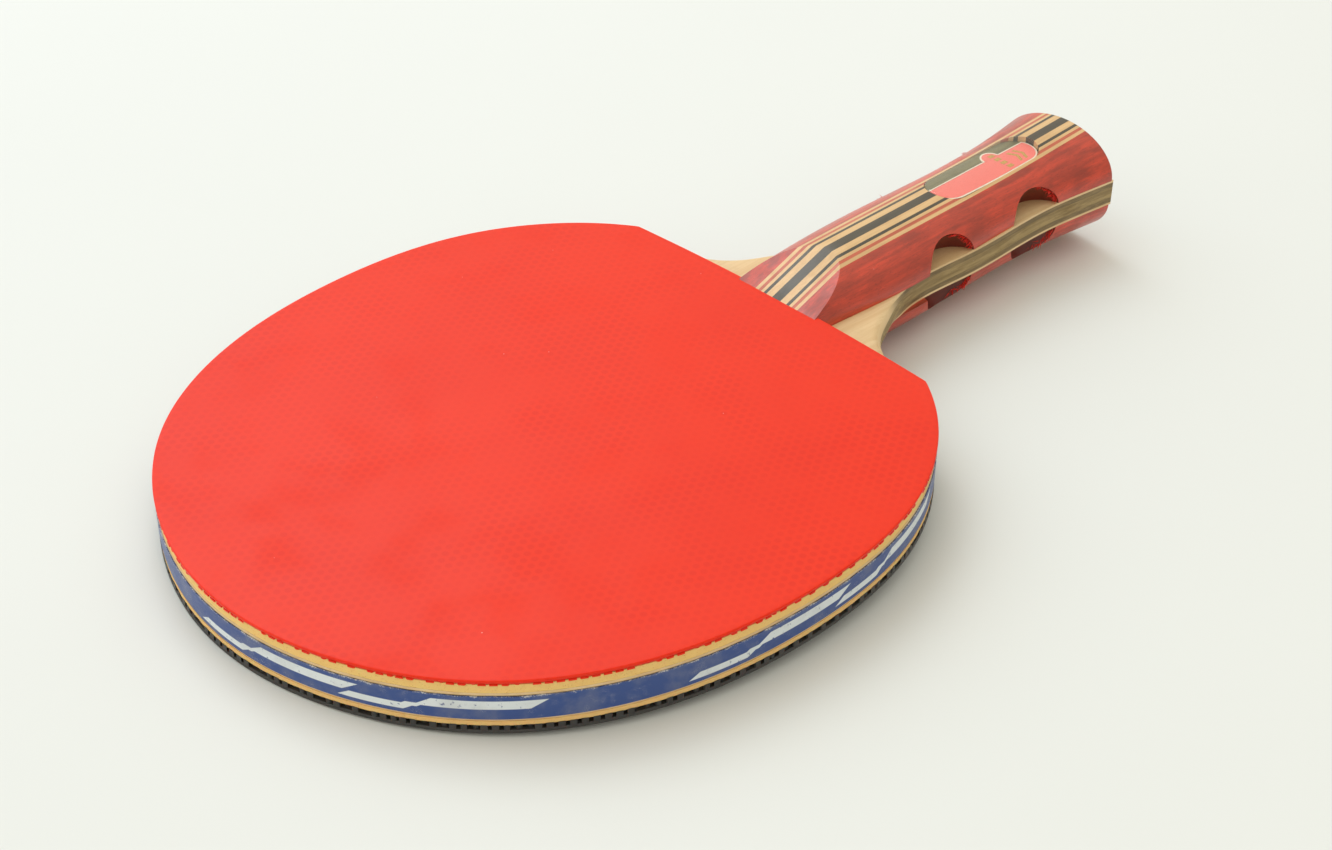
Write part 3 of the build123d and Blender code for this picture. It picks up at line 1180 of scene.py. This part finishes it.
@dataclass
class TornRims:
    """Fibres torn up along the butt side of the vents' rims.

    Args:
        finish: Their finish.
        handle: The handle, for the balls that scoop it.
        grip: The grip section's half width and height at each vent.
        face: The blade's face over its middle plane.
        count: Fibres on one rim.
        length: The longest fibre.
        root: A fibre's radius at its root.
        splay: How far the fibres stray from their common way.
    """

    finish: WoodFinish
    handle: Handle
    grip: tuple[tuple[float, float], ...] = ((14.0 * MM, 12.86 * MM), (14.02 * MM, 13.28 * MM))
    face: float = 3.4 * MM
    count: int = 150
    length: float = 2.1 * MM
    root: float = 0.15 * MM
    splay: float = 0.55

    def rim(self, vent: int, draw: np.random.Generator) -> np.ndarray:
        """Points on one front rim, on the +X side.

        Args:
            vent: Which vent, 0 or 1.
            draw: Where random numbers come from.

        Returns:
            The points, and each one's outward direction, six numbers a row.
        """
        half, height = self.grip[vent]
        y, z = self.handle.vents[vent]
        rise = height - self.face
        rows = []
        for angle in draw.uniform(0.08, 1.2, self.count):
            x, level = half * math.cos(angle), self.face + rise * math.sin(angle)
            reach = self.handle.vent_radius**2 - (x - self.handle.vent_out) ** 2 - (level - z) ** 2
            if reach > (2.5 * MM) ** 2:
                out = np.array((math.cos(angle) / half, math.sin(angle) / rise))
                out /= math.hypot(*out)
                rows.append((x, y + math.sqrt(reach), level, out[0], 0.0, out[1]))
        return np.array(rows)

    def build(self, shop: Workshop) -> None:
        """Grows and dresses the fibres of all eight rims.

        Args:
            shop: Where pieces are made.
        """
        draw = np.random.default_rng(41)
        rows = np.concatenate([
            self.rim(vent, draw) * (side, 1, face, side, 1, face)
            for vent in range(len(self.grip)) for side in (-1, 1) for face in (-1, 1)
        ])
        roots = rows[:, :3] - rows[:, 3:] * draw.uniform(0.1, 1.1, (len(rows), 1)) * MM
        red = self.finish.build(shop)
        values = {"Root": self.root, "Length": self.length, "Splay": self.splay, "Seed": 7, "Finish": red}
        torn = fibre_tree().grow("torn_fibres", roots, values, rows[:, 3:] * 0.35 + (0, -1, 0))
        shop.finish(torn, red, Slot.RED)


@dataclass
class Badge:
    """The printed label and the lens over it.

    Args:
        bed: The dark olive layer on the pocket's floor, beside the label.
        border: The label's cream border.
        field: Its coloured field.
        foil: Its marks.
        resin: The lens's finish.
        edge: Width of the border.
        lift: Thickness of a printed layer.
        bow: How far the lens's rim is rounded.
        mark_x: The marks' middle across the paddle.
        mark_y: Their lower row, from the label's butt end.
    """

    bed: WoodFinish
    border: PrintFinish
    field: PrintFinish
    foil: PrintFinish
    resin: LensFinish
    edge: float = 0.45 * MM
    lift: float = 0.03 * MM
    bow: float = 0.35 * MM
    mark_x: float = 1.6 * MM
    mark_y: float = 11.8 * MM

    def slot_plan(self, spots: np.ndarray, inset: float) -> np.ndarray:
        """The pocket's round-ended outline, from the lens's place.

        Args:
            spots: The lens's flat vertices.
            inset: How far it is drawn in.

        Returns:
            Its points, counterclockwise.
        """
        low, high = spots.min(axis=0)[:2], spots.max(axis=0)[:2]
        radius = (high[0] - low[0]) / 2
        turn = np.linspace(0, math.pi, 33)
        end = np.column_stack([np.cos(turn), np.sin(turn)]) * (radius - inset)
        side = np.linspace(high[1] - radius, low[1] + radius, 41)[1:-1]
        left = np.column_stack([np.full(len(side), inset - radius), side])
        right = -left + (0, side[0] + side[-1])
        plan = np.concatenate([end + (0, high[1] - radius), left, -end + (0, low[1] + radius), right])
        return plan + ((low[0] + high[0]) / 2, 0)

    def marks(self, y: float) -> list[np.ndarray]:
        """The outlines of two chevrons over a row of bars, whose middle lies at y."""
        chevron = [(-2.3, 0.0), (0.0, 1.1), (2.3, 0.0), (2.3, 0.9), (0.0, 2.0), (-2.3, 0.9)]
        bar = [(0.0, -0.9), (1.2, -0.9), (1.2, 0.9), (0.0, 0.9)]
        placed = [(chevron, 0.0, rise) for rise in (3.6, 5.6)]
        placed += [(bar, 2.0 * step - 4.6, 0.0) for step in range(4)]
        return [np.array(shape) * MM + (self.mark_x + x * MM, y + rise * MM) for shape, x, rise in placed]

    def layers(self, shop: Workshop, name: str, outlines: Sequence[np.ndarray], low: float, high: float) -> object:
        """Flat layers between two heights.

        Args:
            shop: Where pieces are made.
            name: The piece's name.
            outlines: The layers' outlines.
            low: Their undersides.
            high: Their tops.

        Returns:
            The object, on the bench.
        """
        vertices, faces = [], []
        for outline in outlines:
            part, part_faces = capped([at_height(outline, low), at_height(outline, high)])
            faces += [[corner + len(vertices) for corner in face] for face in part_faces]
            vertices += list(part)
        return shop.shape(name, np.array(vertices), faces)

    def build(self, shop: Workshop) -> None:
        """Builds and dresses the label, its print and the lens.

        Args:
            shop: Where pieces are made.
        """
        outline = smooth_loop(shop.bench.face_outline("badge_label"), 0.35 * MM)
        low, high = shop.bench.levels("badge_label")
        spots = shop.bench.flat_vertices("badge_lens")
        printed = high + self.lift
        floor = self.slot_plan(spots, 0.02 * MM)
        bed = self.layers(shop, "badge_bed", [floor], low + 0.01 * MM, low + 0.1 * MM)
        shop.finish(bed, self.bed.build(shop), Slot.LABEL)
        card = self.layers(shop, "badge_card", [outline], low + 0.1 * MM, high)
        shop.finish(card, self.border.build(shop), Slot.LABEL, "badge_label")
        field = self.layers(shop, "badge_field", [inset_loop(outline, self.edge)], high, printed)
        shop.finish(field, self.field.build(shop), Slot.LABEL)
        shapes = self.marks(float(outline[:, 1].max()) - self.mark_y)
        marks = self.layers(shop, "badge_marks", shapes, printed, printed + self.lift)
        shop.finish(marks, self.foil.build(shop), Slot.LABEL)
        self.build_lens(shop, spots, high + 3 * self.lift)

    def build_lens(self, shop: Workshop, spots: np.ndarray, low: float) -> None:
        """Builds the lens, whose top follows the frame's.

        Args:
            shop: Where pieces are made.
            spots: The frame lens's flat vertices.
            low: Its underside over the middle plane.
        """
        faces = [list(polygon.vertices) for polygon in frame["nodes"]["badge_lens"].data.polygons]
        tree = BVHTree.FromPolygons([tuple(place) for place in spots], faces)

        def surface(place: np.ndarray) -> float:
            """The lens's top at a place."""
            hit = tree.ray_cast(Vector((place[0], place[1], 0.1)), Vector((0, 0, -1)))[0]
            return hit.z if hit else low

        rings = [at_height(self.slot_plan(spots, 0.05 * MM), low)]
        for inset in millimetres(0.05, 0.09, 0.16, 0.26, 0.4, 0.6, 0.9, 1.4, 2.0, 2.7, 3.4, 4.1, 4.8, 5.3):
            ring = self.slot_plan(spots, inset)
            round_off = self.bow * (1 - math.sqrt(1 - max(0.0, 1 - inset / self.bow) ** 2))
            rings.append(at_height(ring, [surface(place) - round_off for place in ring]))
        lens = shop.shape("badge_lens_drop", *capped(rings))
        shop.finish(lens, self.resin.build(shop), Slot.LENS, "badge_lens", crease=50.0)


# ---------------------------------------------------------------- the studio


@dataclass(frozen=True)
class Softbox:
    """A soft square lamp that points at the paddle.

    Args:
        name: The lamp's name.
        place: Where it is.
        size: Its side.
        power: Its power in watts.
        colour: Its light.
    """

    name: str
    place: tuple[float, float, float]
    size: float
    power: float
    colour: Colour

    def build(self) -> None:
        """Hangs the lamp."""
        lamp = bpy.data.lights.new(self.name, "AREA")
        lamp.shape = "RECTANGLE"
        lamp.size = lamp.size_y = self.size
        lamp.energy = self.power
        lamp.color = self.colour
        holder = bpy.data.objects.new(self.name, lamp)
        holder.location = self.place
        holder.rotation_mode = "QUATERNION"
        holder.rotation_quaternion = (-Vector(self.place)).to_track_quat("-Z", "Y")
        bpy.context.scene.collection.objects.link(holder)


@dataclass
class Studio:
    """Floor, light and camera.

    Args:
        floor: The floor's finish.
        floor_half: Half the floor's side.
        lamps: The soft lamps.
        ambient: The room's light and its strength.
        window: The room's brighter side.
        camera_place: Where the camera stands.
        camera_right: The picture's right.
        camera_down: The picture's down.
        lens: Focal length in millimetres.
        shift: The lens's shift, for the framing.
    """

    floor: FloorFinish
    floor_half: float
    lamps: tuple[Softbox, ...]
    ambient: tuple[Colour, float]
    window: tuple[float, float, float] = (-0.62, -0.52, 0.59)
    camera_place: tuple[float, float, float] = (0.29560, -0.31203, 0.28722)
    camera_right: tuple[float, float, float] = (0.69798, 0.71533, 0.03361)
    camera_down: tuple[float, float, float] = (0.42321, -0.37417, -0.82516)
    lens: float = 62.09
    shift: tuple[float, float] = (-0.0013, 0.0020)

    def build(self, shop: Workshop) -> None:
        """Sets up the studio.

        Args:
            shop: Where materials are made.
        """
        self.lay_floor(shop)
        for lamp in self.lamps:
            lamp.build()
        self.light_room()
        self.set_camera()
        bpy.context.scene.view_settings.view_transform = "Standard"

    def lay_floor(self, shop: Workshop) -> None:
        """Lays the floor under the paddle."""
        mesh = bpy.data.meshes.new("floor")
        half = self.floor_half
        mesh.from_pydata([(-half, -half, 0), (half, -half, 0), (half, half, 0), (-half, half, 0)], [], [[0, 1, 2, 3]])
        mesh.materials.append(self.floor.build(shop))
        floor = bpy.data.objects.new("floor", mesh)
        bpy.context.scene.collection.objects.link(floor)

    def light_room(self) -> None:
        """Fills the room with light that grows towards the window."""
        world = bpy.data.worlds.new("room")
        world.use_nodes = True
        w = Wiring(world.node_tree)
        seen = w.add("TexCoord").outputs["Generated"]
        towards = w.add("VectorMath", {0: seen, 1: self.window}, operation="DOT_PRODUCT").outputs["Value"]
        colour, power = self.ambient
        strength = w.spread(towards, -1.0, 1.0, power * 0.55, power * 1.3)
        w.feed(w.tree.nodes["Background"], {"Color": colour, "Strength": strength})
        bpy.context.scene.world = world

    def set_camera(self) -> None:
        """Places the camera."""
        lens = bpy.data.cameras.new("camera")
        lens.lens, lens.sensor_width = self.lens, 36.0
        lens.shift_x, lens.shift_y = self.shift
        lens.clip_start, lens.clip_end = 0.01, 20.0
        camera = bpy.data.objects.new("camera", lens)
        right, up = Vector(self.camera_right).normalized(), -Vector(self.camera_down).normalized()
        turned = Matrix((right, up, right.cross(up))).transposed().to_4x4()
        camera.matrix_world = Matrix.Translation(self.camera_place) @ turned
        bpy.context.scene.collection.objects.link(camera)
        bpy.context.scene.camera = camera


# ---------------------------------------------------------------- the paddle


CREAM_WOOD = WoodFinish("pale_face_wood", paint(236, 205, 158), paint(206, 164, 108), 0.45, 0.12, 1.0, 0.5)
OLIVE_WOOD = WoodFinish(
    "olive_ply", paint(150, 126, 82), paint(104, 84, 50), 0.8, 0.5, 2.5, 0.55, seed=3.0, sanded=paint(228, 196, 148)
)
CORE_WOOD = WoodFinish("khaki_core", paint(178, 152, 100), paint(128, 104, 62), 0.8, 0.5, 2.5, 0.6, seed=6.0)
DARK_STRIP = WoodFinish("dark_strip_wood", paint(72, 60, 38), paint(46, 38, 24), 0.5, 0.35, 3.0, 0.42, 0.34, 9.0)
CREAM_STRIP = WoodFinish(
    "cream_strip_wood", paint(226, 184, 128), paint(198, 150, 94), 0.4, 0.2, 3.0, 0.42, 0.34, 13.0
)
RED_STRIP = WoodFinish(
    "red_strip_wood", paint(218, 70, 42), paint(128, 44, 28), 0.45, 0.6, 1.6, 0.4, 0.34, 17.0, 0.55
)
RED_LINE = WoodFinish("red_line_wood", paint(206, 100, 66), paint(160, 66, 42), 0.4, 0.3, 3.0, 0.42, 0.34, 21.0)
TORN_RED = WoodFinish("torn_red_wood", paint(240, 52, 36), paint(190, 34, 24), 0.3, 0.0, 3.0, 0.6, seed=37.0)
OLIVE_BED = WoodFinish("badge_bed_wood", paint(124, 116, 72), paint(92, 82, 48), 0.6, 0.3, 2.0, 0.5, seed=31.0)
PLIES = {
    "front_outer_ply": (CREAM_WOOD, Slot.FACE),
    "front_inner_ply": (OLIVE_WOOD, Slot.OLIVE),
    "core_ply": (CORE_WOOD, Slot.CORE),
    "back_inner_ply": (OLIVE_WOOD, Slot.OLIVE),
    "back_outer_ply": (CREAM_WOOD, Slot.FACE),
}
STRIPS = {
    "centre_dark": (DARK_STRIP, Slot.DARK),
    "cream_wide": (CREAM_STRIP, Slot.CREAM),
    "dark_line": (DARK_STRIP, Slot.DARK),
    "cream_mid": (CREAM_STRIP, Slot.CREAM),
    "red_line": (RED_LINE, Slot.RED),
    "cream_outer": (CREAM_STRIP, Slot.CREAM),
    "red_block": (RED_STRIP, Slot.RED),
}
FRONT_RUBBER = Rubber(
    1, "front_sponge", "front_sheet",
    RubberFinish("red_rubber_sheet", paint(236, 48, 14), paint(222, 34, 10), 2.2, 0.72, 0.36, 0.2),
    FoamFinish("yellow_sponge", paint(246, 206, 132), paint(214, 158, 78)),
    Slot.RED_RUBBER, pins=0.3 * MM, foam_inset=0.28 * MM, radius=0.8 * MM,
)
BACK_RUBBER = Rubber(
    -1, "back_sponge", "back_sheet",
    RubberFinish("black_rubber_sheet", paint(62, 60, 59), paint(50, 48, 48), 2.2, 0.72, 0.42, 0.4),
    FoamFinish("pale_sponge", paint(240, 196, 130), paint(200, 146, 84)),
    Slot.BLACK_RUBBER, pins=1.2 * MM, foam_inset=0.08 * MM, radius=0.7 * MM,
)
BAR_TAPE = TapeFinish(
    "barred_tape", paint(46, 74, 138), paint(222, 228, 232), paint(226, 224, 218), 2.85, (-7.0, 29.0), 103.6
)
BADGE = Badge(
    OLIVE_BED,
    PrintFinish("cream_print", paint(240, 222, 200)),
    PrintFinish("rose_print", paint(246, 118, 106)),
    PrintFinish("gold_foil", paint(214, 170, 96), 0.9, 0.3),
    LensFinish("clear_resin"),
)
STUDIO = Studio(
    FloorFinish("pale_floor", (0.80, 0.80, 0.78)),
    2.5,
    (
        Softbox("key", (-0.95, -0.1, 1.05), 1.5, 7.0, (0.5, 0.72, 1.0)),
        Softbox("veil", (-0.74, 0.3, 1.02), 0.6, 2.0, (1.0, 0.98, 0.96)),
    ),
    ((1.0, 0.98, 0.86), 0.85),
)


def main() -> None:
    """Builds the paddle around its frame, then the studio."""
    logging.basicConfig(level=logging.INFO, format="%(message)s")
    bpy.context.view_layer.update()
    shop = Workshop(Bench.from_frame(frame["record"]))
    handle = Handle(STRIPS)
    for made in (FRONT_RUBBER, BACK_RUBBER, EdgeTape(BAR_TAPE), Blade(PLIES), handle, TornRims(TORN_RED, handle), BADGE):
        made.build(shop)
    STUDIO.build(shop)
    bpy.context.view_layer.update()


if __name__ == "__main__":
    main()
